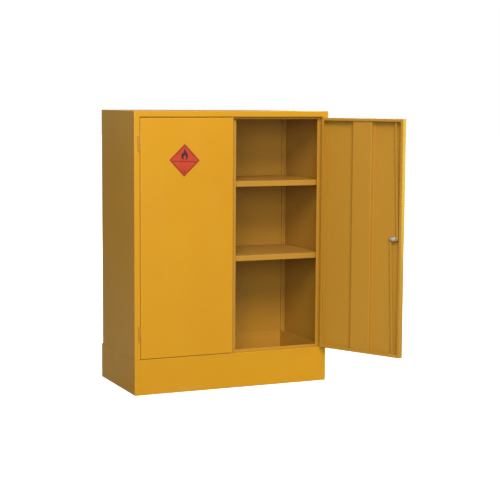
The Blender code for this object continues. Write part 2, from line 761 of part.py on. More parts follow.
def build_handle(handle_axis):
    """Pieces that turn together: lever handle, spindle, cam, cam nut and the two rod pins."""
    cylinder = KEY_CYLINDER_RADIUS + FIT
    shank = SPINDLE_RADIUS + FIT
    hub = turned([
        (0.0, BARREL_BACK + FIT), (cylinder, BARREL_BACK + FIT), (cylinder, HANDLE_FRONT),
        (0.0118, HANDLE_FRONT), (0.0132, HANDLE_FRONT + 0.0012), (0.0142, -0.0200), (0.0150, -0.0080),
        (0.0146, HANDLE_BACK), (shank, HANDLE_BACK), (shank, SPINDLE_FRONT - FIT),
        (0.0, SPINDLE_FRONT - FIT),
    ])
    handle = solid("handle", hub, NICKEL, handle_axis)
    boolean(handle, skin(lever_rings()), "UNION")

    chamfer = 0.0006
    square_end = CAM_DEPTH + CAM_SHEET + FIT / 2
    spindle = skin([
        ring_points(SPINDLE_RADIUS - chamfer, SPINDLE_FRONT),
        ring_points(SPINDLE_RADIUS, SPINDLE_FRONT + chamfer),
        ring_points(SPINDLE_RADIUS, CAM_DEPTH - FIT),
        polygon_points(CAM_SQUARE / 2, 4, CAM_DEPTH - FIT, SPINDLE_RADIUS),
        polygon_points(CAM_SQUARE / 2, 4, square_end, SPINDLE_RADIUS),
        ring_points(SPINDLE_THREAD_RADIUS, square_end),
        ring_points(SPINDLE_THREAD_RADIUS, SPINDLE_BACK - chamfer),
        ring_points(SPINDLE_THREAD_RADIUS - chamfer, SPINDLE_BACK),
    ])
    solid("lock_spindle", spindle, ZINC, handle_axis)
    build_cam(handle_axis)

    cam_face = CAM_DEPTH + CAM_SHEET + FIT
    nut = hex_nut(CAM_NUT_FLATS, SPINDLE_THREAD_RADIUS + FIT, cam_face, cam_face + CAM_NUT_THICKNESS)
    solid("cam_nut", nut, ZINC, handle_axis)
    rod_face = ROD_DEPTH - FIT
    head = PIVOT_HEAD_RADIUS
    crown = head * 0.75
    for name, throw in (("upper_rod_pin", -CAM_THROW), ("lower_rod_pin", CAM_THROW)):
        rivet = turned([
            (0.0, rod_face - PIVOT_HEAD), (crown, rod_face - PIVOT_HEAD), (head, rod_face - PIVOT_HEAD / 2),
            (head, rod_face), (PIVOT_SHANK_RADIUS, rod_face), (PIVOT_SHANK_RADIUS, cam_face),
            (head, cam_face), (head, cam_face + PIVOT_HEAD / 2), (crown, cam_face + PIVOT_HEAD),
            (0.0, cam_face + PIVOT_HEAD),
        ], SMALL_ROUND)
        solid(name, rivet, PASSIVATED, handle_axis, (throw, 0.0, 0.0))


def build_cam(handle_axis):
    """Double-ended cam plate with a square hole for the spindle and a pivot hole at each end."""
    right_end = arc(CAM_THROW, 0.0, CAM_TIP_RADIUS, -75.0, 75.0, 8)
    crown = arc(0.0, 0.0, CAM_WAIST_RADIUS, 65.0, 115.0, 4)
    left_end = arc(-CAM_THROW, 0.0, CAM_TIP_RADIUS, 105.0, 255.0, 8)
    keel = arc(0.0, 0.0, CAM_WAIST_RADIUS, 245.0, 295.0, 4)
    cam_body = plate(right_end + crown + left_end + keel, CAM_DEPTH, CAM_DEPTH + CAM_SHEET)
    cam = solid("lock_cam", cam_body, PASSIVATED, handle_axis)
    low, high = CAM_DEPTH - CUT, CAM_DEPTH + CAM_SHEET + CUT
    square = CAM_SQUARE / 2 + FIT / 2
    holes = [skin([polygon_points(square, 4, y, 2 * square) for y in (low, high)])]
    for throw in (-CAM_THROW, CAM_THROW):
        hole = turned([(PIVOT_HOLE_RADIUS, low), (PIVOT_HOLE_RADIUS, high)], SMALL_ROUND)
        bmesh.ops.translate(hole, verts=hole.verts, vec=(throw, 0.0, 0.0))
        holes.append(hole)
    boolean(cam, merged(holes), "DIFFERENCE")


def build_lock_barrel(barrel_axis):
    """Key cylinder in the handle's hub, with its keyway."""
    radius = KEY_CYLINDER_RADIUS
    chamfer = 0.0005
    profile = [(0.0, BARREL_BACK), (radius, BARREL_BACK), (radius, HANDLE_FRONT + chamfer),
               (radius - chamfer, HANDLE_FRONT), (0.0, HANDLE_FRONT)]
    item = solid("lock_barrel", turned(profile), ZINC, barrel_axis)
    boolean(item, box(
        (-KEYWAY_WIDTH / 2, HANDLE_FRONT - CUT, -KEYWAY_HEIGHT / 2),
        (KEYWAY_WIDTH / 2, HANDLE_FRONT + KEYWAY_DEPTH, KEYWAY_HEIGHT / 2),
    ), "DIFFERENCE")


def build_rod(name, rod_axis, way):
    """Locking rod on its pin: an eye, a flat bar and a tapered end; way is +1 up or -1 down."""
    half = ROD_WIDTH / 2
    neck = math.degrees(math.asin(half / ROD_EYE_RADIUS))
    outline = arc(0.0, 0.0, ROD_EYE_RADIUS, 90.0 + neck, 450.0 - neck, 14)
    outline += [(half, ROD_LENGTH - ROD_TAPER), (half * 0.6, ROD_LENGTH),
                (-half * 0.6, ROD_LENGTH), (-half, ROD_LENGTH - ROD_TAPER)]
    outline = [(x, way * z) for x, z in outline]
    rod = solid(name, plate(outline, ROD_DEPTH, ROD_DEPTH + ROD_SHEET), YELLOW, rod_axis)
    hole = turned([
        (PIVOT_HOLE_RADIUS, ROD_DEPTH - CUT), (PIVOT_HOLE_RADIUS, ROD_DEPTH + ROD_SHEET + CUT),
    ], SMALL_ROUND)
    boolean(rod, hole, "DIFFERENCE")


def build_rod_guide(name, axis, lock_x, low, high):
    """Nylon guide inside the door's end return, with a slot that lets the rod swing sideways."""
    middle = ROD_DEPTH + ROD_SHEET / 2
    loops = []
    for (u, v), z in ((GUIDE_OUTER, low), (GUIDE_OUTER, high), (GUIDE_INNER, high), (GUIDE_INNER, low)):
        loops.append([(lock_x - u, middle - v, z), (lock_x + u, middle - v, z),
                      (lock_x + u, middle + v, z), (lock_x - u, middle + v, z)])
    solid(name, skin(loops, closed=True), NYLON, axis)


def right_door_cuts(lock_x):
    """Openings in the right door: the lock's hole and the slots for the rods in both end returns."""
    hole = turned([(LOCK_HOLE_RADIUS, -CUT), (LOCK_HOLE_RADIUS, SHEET + CUT)])
    bmesh.ops.translate(hole, verts=hole.verts, vec=(lock_x, 0.0, LOCK_HEIGHT))
    middle = ROD_DEPTH + ROD_SHEET / 2
    half_x, half_y = ROD_SLOT
    cuts = [hole]
    bottom = (DOOR_BOTTOM - CUT, DOOR_BOTTOM + SHEET + CUT)
    top = (DOOR_TOP - SHEET - CUT, DOOR_TOP + CUT)
    for low, high in (bottom, top):
        cuts.append(box((lock_x - half_x, middle - half_y, low), (lock_x + half_x, middle + half_y, high)))
    return cuts


# ---------------------------------------------------------------- label


def build_label(axis):
    """Square label with round corners that stands on one corner, on the left door's face."""
    half = LABEL_SIDE / 2
    radius = LABEL_CORNER
    square = []
    for quarter, (sx, sz) in enumerate(((1, 1), (-1, 1), (-1, -1), (1, -1))):
        square += arc(sx * (half - radius), sz * (half - radius), radius, 90 * quarter, 90 * quarter + 90, 4)
    across, up = math.cos(LABEL_TURN), math.sin(LABEL_TURN)
    diamond = [(x * across - z * up, x * up + z * across) for x, z in square]
    start = -FIT - LABEL_SHEET
    centre = (LABEL_FROM_SIDE - AXIS_INSET, 0.0, LABEL_HEIGHT)
    solid("hazard_label", plate(diamond, start, -FIT), LABEL_RED, axis, centre)


# ---------------------------------------------------------------- assembly


def build_cabinet():
    clear_scene()
    datum = empty("front_left_floor_corner", None, (-WIDTH / 2, FRONT, 0.0))

    def left(x):
        return x

    def right(x):
        return WIDTH - x

    build_body_shell(datum)
    build_back_panel(datum)
    build_base_rails(datum)
    build_base_side("base_left_rail", datum, left)
    build_base_side("base_right_rail", datum, right)
    build_sump(datum)

    front_wall = SUMP_FRONT
    rear_wall = BACK_PANEL_FRONT - FIT
    front_web = front_wall + UPRIGHT_DEPTH
    rear_web = rear_wall - UPRIGHT_DEPTH
    for side_name, mirror in (("left", left), ("right", right)):
        build_upright("front_" + side_name + "_upright", datum, mirror, front_web, front_wall)
        build_upright("rear_" + side_name + "_upright", datum, mirror, rear_web, rear_wall)
        for level, top in SHELF_TOPS.items():
            ledge = top - SHELF_LIP
            stem = level + "_shelf_clip_"
            build_clip(stem + "front_" + side_name, datum, mirror, front_web, 1.0, ledge)
            build_clip(stem + "rear_" + side_name, datum, mirror, rear_web, -1.0, ledge)
    for level, top in SHELF_TOPS.items():
        build_shelf(level, top, datum)

    left_axis = empty("left_door_axis", None, (-WIDTH / 2 + AXIS_INSET, FRONT, 0.0))
    right_axis = empty("right_door_axis", None, (WIDTH / 2 - AXIS_INSET, FRONT, 0.0),
                       (0.0, 0.0, RIGHT_DOOR_OPEN))
    lock_x = -LOCK_TO_AXIS
    build_door("left_door", left_axis, 1.0)
    build_meeting_strip(left_axis)
    build_label(left_axis)
    build_door("right_door", right_axis, -1.0, right_door_cuts(lock_x))
    for side_name, axis, side in (("left", left_axis, 1.0), ("right", right_axis, -1.0)):
        for level, height in HINGE_HEIGHTS.items():
            place_x = AXIS_INSET if side > 0 else WIDTH - AXIS_INSET
            build_hinge(side_name + "_" + level + "_hinge", height, datum, (place_x, 0.0), axis, side)

    lock_place = (lock_x, 0.0, LOCK_HEIGHT)
    build_lock_case(right_axis, lock_place)
    handle_axis = empty("handle_axis", right_axis, lock_place)
    build_handle(handle_axis)
    build_lock_barrel(empty("lock_barrel_axis", handle_axis, (0.0, 0.0, 0.0)))
    upper_axis = empty("upper_rod_axis", handle_axis, (-CAM_THROW, 0.0, 0.0), (0.0, ROD_LEAN, 0.0))
    lower_axis = empty("lower_rod_axis", handle_axis, (CAM_THROW, 0.0, 0.0), (0.0, ROD_LEAN, 0.0))
    build_rod("upper_locking_rod", upper_axis, 1.0)
    build_rod("lower_locking_rod", lower_axis, -1.0)
    top = DOOR_TOP - SHEET - FIT
    bottom = DOOR_BOTTOM + SHEET + FIT
    build_rod_guide("upper_rod_guide", right_axis, lock_x, top - GUIDE_HEIGHT, top)
    build_rod_guide("lower_rod_guide", right_axis, lock_x, bottom, bottom + GUIDE_HEIGHT)


build_cabinet()
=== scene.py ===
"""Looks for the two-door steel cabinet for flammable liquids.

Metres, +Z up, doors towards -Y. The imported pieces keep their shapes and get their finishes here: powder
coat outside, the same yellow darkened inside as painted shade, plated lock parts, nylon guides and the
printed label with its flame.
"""
import json
import math

import bmesh
import bpy
from mathutils import Matrix, Vector


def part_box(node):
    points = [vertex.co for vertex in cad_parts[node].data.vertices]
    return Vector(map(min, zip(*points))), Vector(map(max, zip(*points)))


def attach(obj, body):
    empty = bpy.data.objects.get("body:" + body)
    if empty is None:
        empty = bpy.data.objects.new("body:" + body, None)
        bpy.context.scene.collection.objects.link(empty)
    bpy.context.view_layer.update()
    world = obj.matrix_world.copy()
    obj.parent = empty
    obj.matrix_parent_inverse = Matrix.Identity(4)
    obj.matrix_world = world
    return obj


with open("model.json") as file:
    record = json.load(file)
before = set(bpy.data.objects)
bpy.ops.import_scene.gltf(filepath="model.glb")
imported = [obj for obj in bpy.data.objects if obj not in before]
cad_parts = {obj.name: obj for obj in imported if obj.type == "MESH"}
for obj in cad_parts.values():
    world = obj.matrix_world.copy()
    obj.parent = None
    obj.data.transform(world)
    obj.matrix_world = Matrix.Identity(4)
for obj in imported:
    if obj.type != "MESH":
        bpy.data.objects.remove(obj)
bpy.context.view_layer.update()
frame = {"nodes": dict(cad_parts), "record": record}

# Paint colours; the third is the yellow darkened and dulled as painted shade, for the inside of the cabinet
# and the open door's back
YELLOW = (0.545, 0.277, 0.003, 1.0)
YELLOW_WORN = (0.640, 0.390, 0.040, 1.0)
YELLOW_PAINTED_SHADE = (0.430, 0.228, 0.019, 1.0)
DUST = (0.500, 0.420, 0.280, 1.0)

# Plated parts, each with the two tones that its coat drifts between, rubbed edges, and plastic
ZINC = ((0.76, 0.75, 0.71, 1.0), (0.66, 0.66, 0.66, 1.0))
YELLOW_PASSIVATE = ((0.56, 0.38, 0.12, 1.0), (0.42, 0.34, 0.14, 1.0))
SATIN_NICKEL = ((0.66, 0.64, 0.60, 1.0), (0.60, 0.59, 0.56, 1.0))
RUBBED_METAL = (0.80, 0.79, 0.76, 1.0)
NYLON = (0.76, 0.74, 0.67, 1.0)

# Plain colour that stands for every finish where its nodes are not drawn
PLAIN_TINT = (0.6, 0.4, 0.2, 1.0)

# Bounds of the inner faces of the sheet steel walls, within which the yellow is darkened as painted shade
INSIDE_HALF_WIDTH = 0.4570
INSIDE_FRONT = -0.2060
INSIDE_TOP = 1.2184

# The open right door: a point on its hinge axis, the way from its outer face inwards, and how far behind
# its outer face the painted shade on its back begins
DOOR_AXIS = (0.4365, -0.2295, 0.0)
DOOR_INWARD = (-0.8910, -0.4540, 0.0)
DOOR_SHADE_MARGIN = 0.0006

# Label: print colours, how far it is turned off true, the print's lift and thickness, and the shares of the
# label's reach at the border's two edges
LABEL_RED = (0.448, 0.046, 0.018, 1.0)
INK_BORDER = (0.250, 0.038, 0.005, 1.0)
INK_RULE = (0.250, 0.026, 0.010, 1.0)
INK_FLAME = (0.040, 0.016, 0.014, 1.0)
LABEL_TURN = math.radians(1.7)
PRINT_LIFT = 0.00008
PRINT_THICKNESS = 0.00006
BORDER_OUTER = 0.985
BORDER_INNER = 0.880

# Label print, as (x, z) from the label's middle: the rule, the oval mark at the base and the flame
RULE = ((-0.0545, -0.0076), (0.0545, -0.0076), (0.0560, -0.0030), (-0.0560, -0.0030))
MARK_MIDDLE = -0.0480
MARK_RADII = (0.0048, 0.0060)
MARK_SIDES = 16
FLAME = (
    (0.0000, 0.0525), (0.0032, 0.0430), (0.0088, 0.0350), (0.0140, 0.0250), (0.0150, 0.0146),
    (0.0108, 0.0062), (0.0030, 0.0028), (0.0056, 0.0090), (0.0048, 0.0170), (0.0004, 0.0225),
    (-0.0042, 0.0170), (-0.0056, 0.0092), (-0.0036, 0.0028), (-0.0110, 0.0062), (-0.0152, 0.0144),
    (-0.0150, 0.0244), (-0.0116, 0.0320), (-0.0078, 0.0293), (-0.0050, 0.0366), (-0.0028, 0.0449),
)

# Camera: stands to the left of the cabinet's front and looks a little down; angles are in radians
CAMERA_PLACE = (-2.3784, -5.7652, 1.2803)
CAMERA_YAW = 0.4178
CAMERA_PITCH = 0.1102
CAMERA_ROLL = 0.0061
CAMERA_LENS = 99.69
CAMERA_SENSOR = 36.0
CAMERA_REACH = 200.0

# Floor: its size, its glow near the cabinet, the two distances between which that turns into plain white,
# and the grey that it throws back
FLOOR_RADIUS = 40.0
FLOOR_RINGS = 5
FLOOR_SIDES = 48
FLOOR_GLOW = 0.60
FLOOR_NEAR = 0.5
FLOOR_FAR = 2.5
FLOOR_BOUNCE = (0.22, 0.22, 0.22, 1.0)

# Surroundings, and the soft lights: name, place, target, size in metres, power in watts, colour
WHITE = (1.0, 1.0, 1.0, 1.0)
AIR_FILL = 0.316
AIR_COLOUR = (0.80, 0.91, 1.00, 1.0)
SOFT_LIGHTS = (
    ("key_softbox", (-2.31, -7.00, 6.14), (0.0, -0.3, 0.6), (4.0, 3.5), 742.0, (1.00, 0.843, 0.784)),
    ("front_fill", (-2.60, -7.20, 1.90), (0.0, -0.2, 0.7), (4.0, 2.4), 213.0, (1.00, 0.962, 0.962)),
    ("right_softbox", (4.5, -1.2, 1.4), (0.4, -0.4, 0.6), (1.5, 2.4), 80.0, (1.00, 0.92, 0.14)),
    ("rear_panel", (4.2, 4.6, 2.6), (0.0, 0.2, 0.6), (3.0, 2.0), 170.0, (1.00, 1.00, 1.00)),
    ("top_panel", (0.0, -0.6, 7.0), (0.0, -0.2, 0.6), (5.0, 5.0), 166.0, (1.00, 1.00, 1.00)),
)

# ---------------------------------------------------------------- node helpers


class Wiring:
    """Adds nodes to one tree; an input that gets a socket is linked, and any other value is set."""

    def __init__(self, tree):
        self.tree = tree
        self.tree.nodes.clear()

    def add(self, kind, inputs=None, **settings):
        made = self.tree.nodes.new("ShaderNode" + kind)
        for name, value in settings.items():
            setattr(made, name, value)
        for key, value in (inputs or {}).items():
            if isinstance(value, bpy.types.NodeSocket):
                self.tree.links.new(value, made.inputs[key])
            else:
                made.inputs[key].default_value = value
        return made

    def math(self, operation, first, second=0.0, clamp=False):
        made = self.add("Math", {0: first, 1: second}, operation=operation, use_clamp=clamp)
        return made.outputs[0]

    def span(self, value, low, high, to_low=0.0, to_high=1.0):
        """Smooth step of a value from one range to another, held at both ends."""
        made = self.add("MapRange", {
            "Value": value, "From Min": low, "From Max": high, "To Min": to_low, "To Max": to_high,
        }, interpolation_type="SMOOTHSTEP")
        return made.outputs[0]

    def noise(self, place, scale, detail=2.0, roughness=0.5, distortion=0.0):
        made = self.add("TexNoise", {
            "Vector": place, "Scale": scale, "Detail": detail, "Roughness": roughness,
            "Distortion": distortion,
        })
        return made.outputs[0]

    def mix(self, amount, first, second):
        """Colour between two others; 0, 6, 7 and 2 are the colour sockets of the mix node."""
        made = self.add("Mix", {0: amount, 6: first, 7: second}, data_type="RGBA")
        return made.outputs[2]

    def close(self, kind, shader):
        """Links a shader to the tree's output."""
        self.add(kind, {"Surface": shader.outputs[0]})

    def split_by_eye(self, kind, lighting, seen):
        """Closes the tree with one shader for the light that it gives and another for what the eye sees."""
        path = self.add("LightPath")
        both = self.add("MixShader", {
            0: path.outputs["Is Camera Ray"], 1: lighting.outputs[0], 2: seen.outputs[0],
        })
        self.close(kind, both)


def shared_effect(name, inputs, outputs):
    """New node group with named sockets; inputs are (name, kind, default) and outputs (name, kind)."""
    group = bpy.data.node_groups.new(name, "ShaderNodeTree")
    wiring = Wiring(group)
    for label, kind, default in inputs:
        socket = group.interface.new_socket(label, in_out="INPUT", socket_type="NodeSocket" + kind)
        if default is not None:
            socket.default_value = default
    for label, kind in outputs:
        group.interface.new_socket(label, in_out="OUTPUT", socket_type="NodeSocket" + kind)
    source = group.nodes.new("NodeGroupInput")
    sink = group.nodes.new("NodeGroupOutput")
    return wiring, source.outputs, sink.inputs


def give(wiring, sink, results):
    """Links the results to the named outputs of a shared effect."""
    for label, socket in results.items():
        wiring.tree.links.new(socket, sink[label])


# ---------------------------------------------------------------- shared effects

# Fine grains along one ripple of paint, specks along one metre, and the share of a drift that turns the hue
GRAINS_PER_RIPPLE = 4.3
SPECKS_PER_METRE = 850.0
HUE_SHARE = 0.10

# Heights between which scuffs on the foot of the cabinet fade in
SCUFFS_FROM = 0.070
SCUFFS_FULL = 0.002


def make_orange_peel():
    """Rounded ripple of sprayed and baked paint, with a finer grain inside it."""
    wiring, source, sink = shared_effect("orange_peel", [
        ("Place", "Vector", None), ("Ripple Size", "Float", 0.0030), ("Grain", "Float", 0.25),
    ], [("Height", "Float")])
    scale = wiring.math("DIVIDE", 1.0, source["Ripple Size"])
    ripple = wiring.noise(source["Place"], scale, detail=1.5, roughness=0.45, distortion=0.3)
    fine = wiring.math("MULTIPLY", scale, GRAINS_PER_RIPPLE)
    grain = wiring.noise(source["Place"], fine, detail=1.0)
    share = wiring.math("MULTIPLY", grain, source["Grain"])
    give(wiring, sink, {"Height": wiring.math("ADD", ripple, share)})
    return wiring.tree


def make_panel_wave():
    """Slow waviness that a large folded sheet keeps."""
    wiring, source, sink = shared_effect("panel_wave", [
        ("Place", "Vector", None), ("Wave Size", "Float", 0.20),
    ], [("Height", "Float")])
    scale = wiring.math("DIVIDE", 1.0, source["Wave Size"])
    give(wiring, sink, {"Height": wiring.noise(source["Place"], scale, detail=1.0)})
    return wiring.tree


def make_tone_drift():
    """Colour that drifts a little from place to place, as sprayed coats and printed films do."""
    wiring, source, sink = shared_effect("tone_drift", [
        ("Place", "Vector", None), ("Colour", "Color", (0.5, 0.5, 0.5, 1.0)),
        ("Drift Size", "Float", 0.30), ("Drift", "Float", 0.05), ("Speckle", "Float", 0.02),
    ], [("Colour", "Color")])
    scale = wiring.math("DIVIDE", 1.0, source["Drift Size"])
    patches = wiring.noise(source["Place"], scale, detail=3.0, roughness=0.55)
    specks = wiring.noise(source["Place"], SPECKS_PER_METRE, detail=1.0)
    slow = wiring.math("SUBTRACT", patches, 0.5)
    quick = wiring.math("SUBTRACT", specks, 0.5)
    slow_part = wiring.math("MULTIPLY", slow, source["Drift"])
    quick_part = wiring.math("MULTIPLY", quick, source["Speckle"])
    value = wiring.math("ADD", wiring.math("ADD", slow_part, quick_part), 1.0)
    hue_turn = wiring.math("MULTIPLY", slow_part, HUE_SHARE)
    hue = wiring.math("ADD", hue_turn, 0.5)
    turned = wiring.add("HueSaturation", {
        "Hue": hue, "Saturation": 1.0, "Value": value, "Color": source["Colour"],
    })
    give(wiring, sink, {"Colour": turned.outputs[0]})
    return wiring.tree


def make_edge_wear():
    """Mask along outer edges, broken up by noise, where coatings are thin or rubbed."""
    wiring, source, sink = shared_effect("edge_wear", [
        ("Place", "Vector", None), ("Reach", "Float", 0.0012), ("Amount", "Float", 0.5),
        ("Patch Size", "Float", 0.03),
    ], [("Mask", "Float")])
    rounded = wiring.add("Bevel", {"Radius": source["Reach"]}, samples=4)
    flat = wiring.add("NewGeometry")
    facing = wiring.add("VectorMath", {0: rounded.outputs[0], 1: flat.outputs["Normal"]},
                        operation="DOT_PRODUCT")
    edge = wiring.span(facing.outputs["Value"], low=0.995, high=0.86)
    scale = wiring.math("DIVIDE", 1.0, source["Patch Size"])
    clouds = wiring.noise(source["Place"], scale, detail=4.0, roughness=0.65)
    patches = wiring.span(clouds, low=0.38, high=0.66)
    broken = wiring.math("MULTIPLY", edge, patches)
    give(wiring, sink, {"Mask": wiring.math("MULTIPLY", broken, source["Amount"], clamp=True)})
    return wiring.tree


def make_settled_dust():
    """Mask of thin dust on faces that look up, and of scuffs on the lowest hand's breadth."""
    wiring, source, sink = shared_effect("settled_dust", [
        ("Place", "Vector", None), ("Dust", "Float", 0.2), ("Scuffs", "Float", 0.2),
    ], [("Mask", "Float")])
    flat = wiring.add("NewGeometry")
    normal = wiring.add("SeparateXYZ", {0: flat.outputs["Normal"]})
    upward = wiring.span(normal.outputs["Z"], low=0.75, high=0.98)
    clouds = wiring.noise(source["Place"], scale=14.0, detail=5.0, roughness=0.6)
    drifts = wiring.span(clouds, low=0.30, high=0.75, to_low=0.35)
    dust = wiring.math("MULTIPLY", wiring.math("MULTIPLY", upward, drifts), source["Dust"])
    height = wiring.add("SeparateXYZ", {0: source["Place"]})
    foot = wiring.span(height.outputs["Z"], SCUFFS_FROM, SCUFFS_FULL)
    stretched = wiring.add("Mapping", {"Vector": source["Place"], "Scale": (9.0, 9.0, 60.0)})
    streaks = wiring.noise(stretched.outputs[0], scale=1.6, detail=6.0, roughness=0.7)
    marks = wiring.span(streaks, low=0.56, high=0.74)
    scuffs = wiring.math("MULTIPLY", wiring.math("MULTIPLY", foot, marks), source["Scuffs"])
    give(wiring, sink, {"Mask": wiring.math("ADD", dust, scuffs, clamp=True)})
    return wiring.tree


def make_handling_marks():
    """Mask of soft wiped smears that only change the gloss."""
    wiring, source, sink = shared_effect("handling_marks", [
        ("Place", "Vector", None), ("Smear Size", "Float", 0.10), ("Amount", "Float", 0.5),
    ], [("Mask", "Float")])
    scale = wiring.math("DIVIDE", 1.0, source["Smear Size"])
    wiped = wiring.add("Mapping", {"Vector": source["Place"], "Rotation": (0.3, 0.5, 0.2),
                                   "Scale": (1.0, 1.0, 0.35)})
    clouds = wiring.noise(wiped.outputs[0], scale, detail=5.0, roughness=0.62, distortion=0.6)
    smears = wiring.span(clouds, low=0.42, high=0.72)
    give(wiring, sink, {"Mask": wiring.math("MULTIPLY", smears, source["Amount"], clamp=True)})
    return wiring.tree


def make_fine_scratches():
    """Hairline marks along one direction: a height for the surface and a mask for its gloss."""
    wiring, source, sink = shared_effect("fine_scratches", [
        ("Place", "Vector", None), ("Stretch", "Vector", (900.0, 900.0, 40.0)),
        ("Amount", "Float", 0.5),
    ], [("Height", "Float"), ("Mask", "Float")])
    drawn = wiring.add("VectorMath", {0: source["Place"], 1: source["Stretch"]}, operation="MULTIPLY")
    lines = wiring.noise(drawn.outputs[0], scale=1.0, detail=3.0, roughness=0.7)
    deepest = wiring.span(lines, low=0.45, high=0.70)
    give(wiring, sink, {
        "Height": wiring.math("MULTIPLY", lines, source["Amount"]),
        "Mask": wiring.math("MULTIPLY", deepest, source["Amount"]),
    })
    return wiring.tree


def make_plating_crystals():
    """Faint crystal pattern of a zinc coat: a mask with one value for each crystal."""
    wiring, source, sink = shared_effect("plating_crystals", [
        ("Place", "Vector", None), ("Crystal Size", "Float", 0.0022), ("Amount", "Float", 0.5),
    ], [("Mask", "Float")])
    scale = wiring.math("DIVIDE", 1.0, source["Crystal Size"])
    cells = wiring.add("TexVoronoi", {"Vector": source["Place"], "Scale": scale}, feature="F1")
    tone = wiring.add("SeparateColor", {0: cells.outputs["Color"]})
    give(wiring, sink, {"Mask": wiring.math("MULTIPLY", tone.outputs[0], source["Amount"])})
    return wiring.tree


def make_painted_shade_mask():
    """Mask of the faces inside the cabinet and on the open door's back, where the yellow is darkened as
    painted shade.
    """
    wiring, source, sink = shared_effect("painted_shade_mask", [("Place", "Vector", None)], [("Mask", "Float")])
    place = wiring.add("SeparateXYZ", {0: source["Place"]})
    across = wiring.math("LESS_THAN", wiring.math("ABSOLUTE", place.outputs["X"]), INSIDE_HALF_WIDTH)
    behind = wiring.math("GREATER_THAN", place.outputs["Y"], INSIDE_FRONT)
    below = wiring.math("LESS_THAN", place.outputs["Z"], INSIDE_TOP)
    body = wiring.math("MULTIPLY", wiring.math("MULTIPLY", across, behind), below)
    from_axis = wiring.add("VectorMath", {0: source["Place"], 1: DOOR_AXIS}, operation="SUBTRACT")
    depth = wiring.add("VectorMath", {0: from_axis.outputs[0], 1: DOOR_INWARD}, operation="DOT_PRODUCT")
    deep = wiring.math("GREATER_THAN", depth.outputs["Value"], DOOR_SHADE_MARGIN)
    before = wiring.math("LESS_THAN", place.outputs["Y"], DOOR_AXIS[1] - DOOR_SHADE_MARGIN)
    door = wiring.math("MULTIPLY", deep, before)
    give(wiring, sink, {"Mask": wiring.math("ADD", body, door, clamp=True)})
    return wiring.tree


EFFECTS = {
    "painted_shade_mask": make_painted_shade_mask(),
    "orange_peel": make_orange_peel(),
    "panel_wave": make_panel_wave(),
    "tone_drift": make_tone_drift(),
    "edge_wear": make_edge_wear(),
    "settled_dust": make_settled_dust(),
    "handling_marks": make_handling_marks(),
    "fine_scratches": make_fine_scratches(),
    "plating_crystals": make_plating_crystals(),
}

# ---------------------------------------------------------------- finishes


class Finish(Wiring):
    """One material: its wiring, its own place coordinates and its shader."""

    def __init__(self, name):
        self.material = bpy.data.materials.new(name)
        self.material.use_nodes = True
        super().__init__(self.material.node_tree)
        self.place = self.add("TexCoord").outputs["Object"]

    def effect(self, name, **values):
        """Places a shared effect; underscores here stand for the spaces in its socket names."""
        inputs = {"Place": self.place}
        for key, value in values.items():
            inputs[key.replace("_", " ")] = value
        return self.add("Group", inputs, node_tree=EFFECTS[name]).outputs

    def bump(self, height, distance, strength, normal=None):
        inputs = {"Height": height, "Distance": distance, "Strength": strength}
        if normal is not None:
            inputs["Normal"] = normal
        return self.add("Bump", inputs).outputs[0]

    def roughened(self, clean, *marks):
        """Roughness of the clean surface, raised by a share of each mask."""
        rough = clean
        for mask, share in marks:
            rough = self.math("ADD", rough, self.math("MULTIPLY", mask, share), clamp=True)
        return rough

    def surface(self, **inputs):
        """Closes the material with its shader; underscores stand for spaces as above."""
        named = {key.replace("_", " "): value for key, value in inputs.items()}
        self.close("OutputMaterial", self.add("BsdfPrincipled", named))
        self.material.diffuse_color = PLAIN_TINT
        return self.material


def powder_coat(name, colour, roughness, dust):
    """Baked polyester powder on sheet steel."""
    finish = Finish(name)
    inside = finish.effect("painted_shade_mask")
    # Faces inside the cabinet and on the open door's back take the darker yellow as painted shade
    coat = finish.mix(inside["Mask"], colour, YELLOW_PAINTED_SHADE)
    tone = finish.effect("tone_drift", Colour=coat, Drift_Size=0.35, Drift=0.07, Speckle=0.05)
    wear = finish.effect("edge_wear", Reach=0.0011, Amount=0.25, Patch_Size=0.045)
    settled = finish.effect("settled_dust", Dust=dust, Scuffs=0.30)
    smears = finish.effect("handling_marks", Smear_Size=0.12, Amount=1.0)
    peel = finish.effect("orange_peel", Ripple_Size=0.0034, Grain=0.22)
    wave = finish.effect("panel_wave", Wave_Size=0.22)
    worn = finish.mix(wear["Mask"], tone["Colour"], YELLOW_WORN)
    colour_out = finish.mix(settled["Mask"], worn, DUST)
    rough = finish.roughened(roughness, (smears["Mask"], 0.10), (settled["Mask"], 0.35))
    rounded = finish.add("Bevel", {"Radius": 0.0005}, samples=4).outputs[0]
    waved = finish.bump(wave["Height"], distance=0.0009, strength=0.7, normal=rounded)
    normal = finish.bump(peel["Height"], distance=0.00006, strength=0.8, normal=waved)
    return finish.surface(
        Base_Color=colour_out, Roughness=rough, Normal=normal, Metallic=0.0, IOR=1.5,
        Coat_Weight=0.12, Coat_Roughness=0.16,
    )


